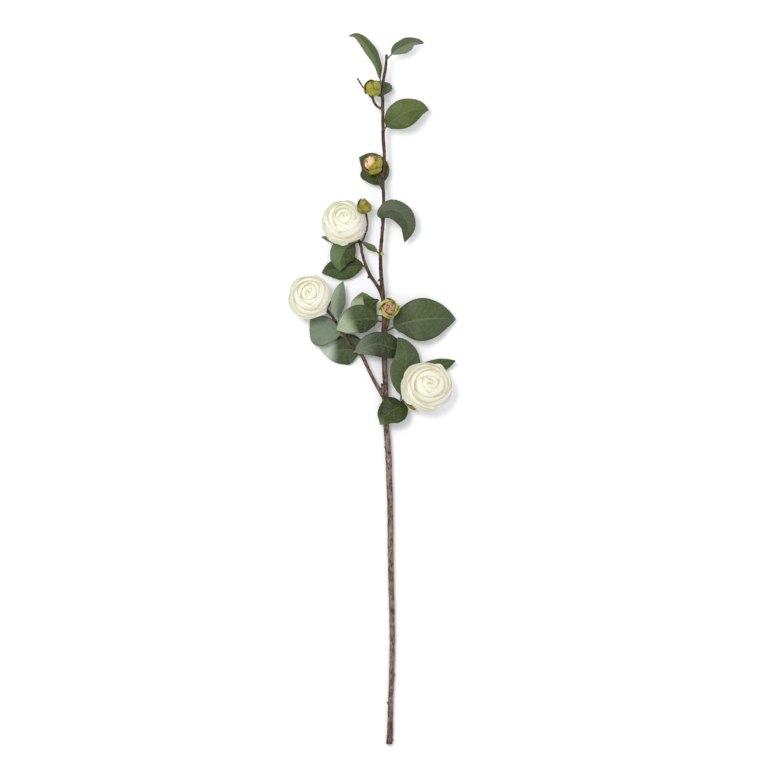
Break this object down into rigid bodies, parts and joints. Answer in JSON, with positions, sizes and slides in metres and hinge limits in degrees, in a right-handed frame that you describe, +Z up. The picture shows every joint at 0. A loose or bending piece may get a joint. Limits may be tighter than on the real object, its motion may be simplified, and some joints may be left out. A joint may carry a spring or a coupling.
{
  "type": "camellia flower spray",
  "caption": "Cut woody camellia spray with side twigs, toothed leaves, closed and opening buds and full double blooms, lying flat.",
  "frame": {"origin": "middle of the spray's box seen from above, on the surface that it lies on", "axes": "+Y along the stem from its cut end to its leafy tip, +Z up from the surface, +X to the right seen from above"},
  "size_m": [0.2101, 0.8901, 0.0464],
  "materials": {
    "bark": "rough mottled bark",
    "leaf": "leathery green with a soft sheen",
    "petal": "soft ivory",
    "sepal": "smooth yellow-green",
    "bud_petal": "soft pinkish brown"
  },
  "bodies": {
    "root": {"branch": "bark", "leaf_01": "leaf", "leaf_02": "leaf", "leaf_03": "leaf", "leaf_04": "leaf", "leaf_05": "leaf", "leaf_06": "leaf", "leaf_07": "leaf", "leaf_08": "leaf", "leaf_09": "leaf", "leaf_10": "leaf", "leaf_11": "leaf", "leaf_12": "leaf", "leaf_13a": "leaf", "leaf_13b": "leaf", "leaf_14": "leaf", "leaf_15": "leaf", "leaf_16": "leaf", "leaf_17": "leaf", "leaf_18": "leaf", "leaf_19": "leaf", "bloom_a_calyx": "sepal", "bloom_a_petals": "petal", "bloom_b_calyx": "sepal", "bloom_b_petals": "petal", "bloom_c_calyx": "sepal", "bloom_c_petals": "petal", "bud_1": "sepal", "bud_2": "sepal", "bud_2_tip": "petal", "bud_3": "sepal", "bud_4": "sepal", "bud_5": "sepal", "bud_5_tip": "bud_petal"}
  },
  "joints": []
}
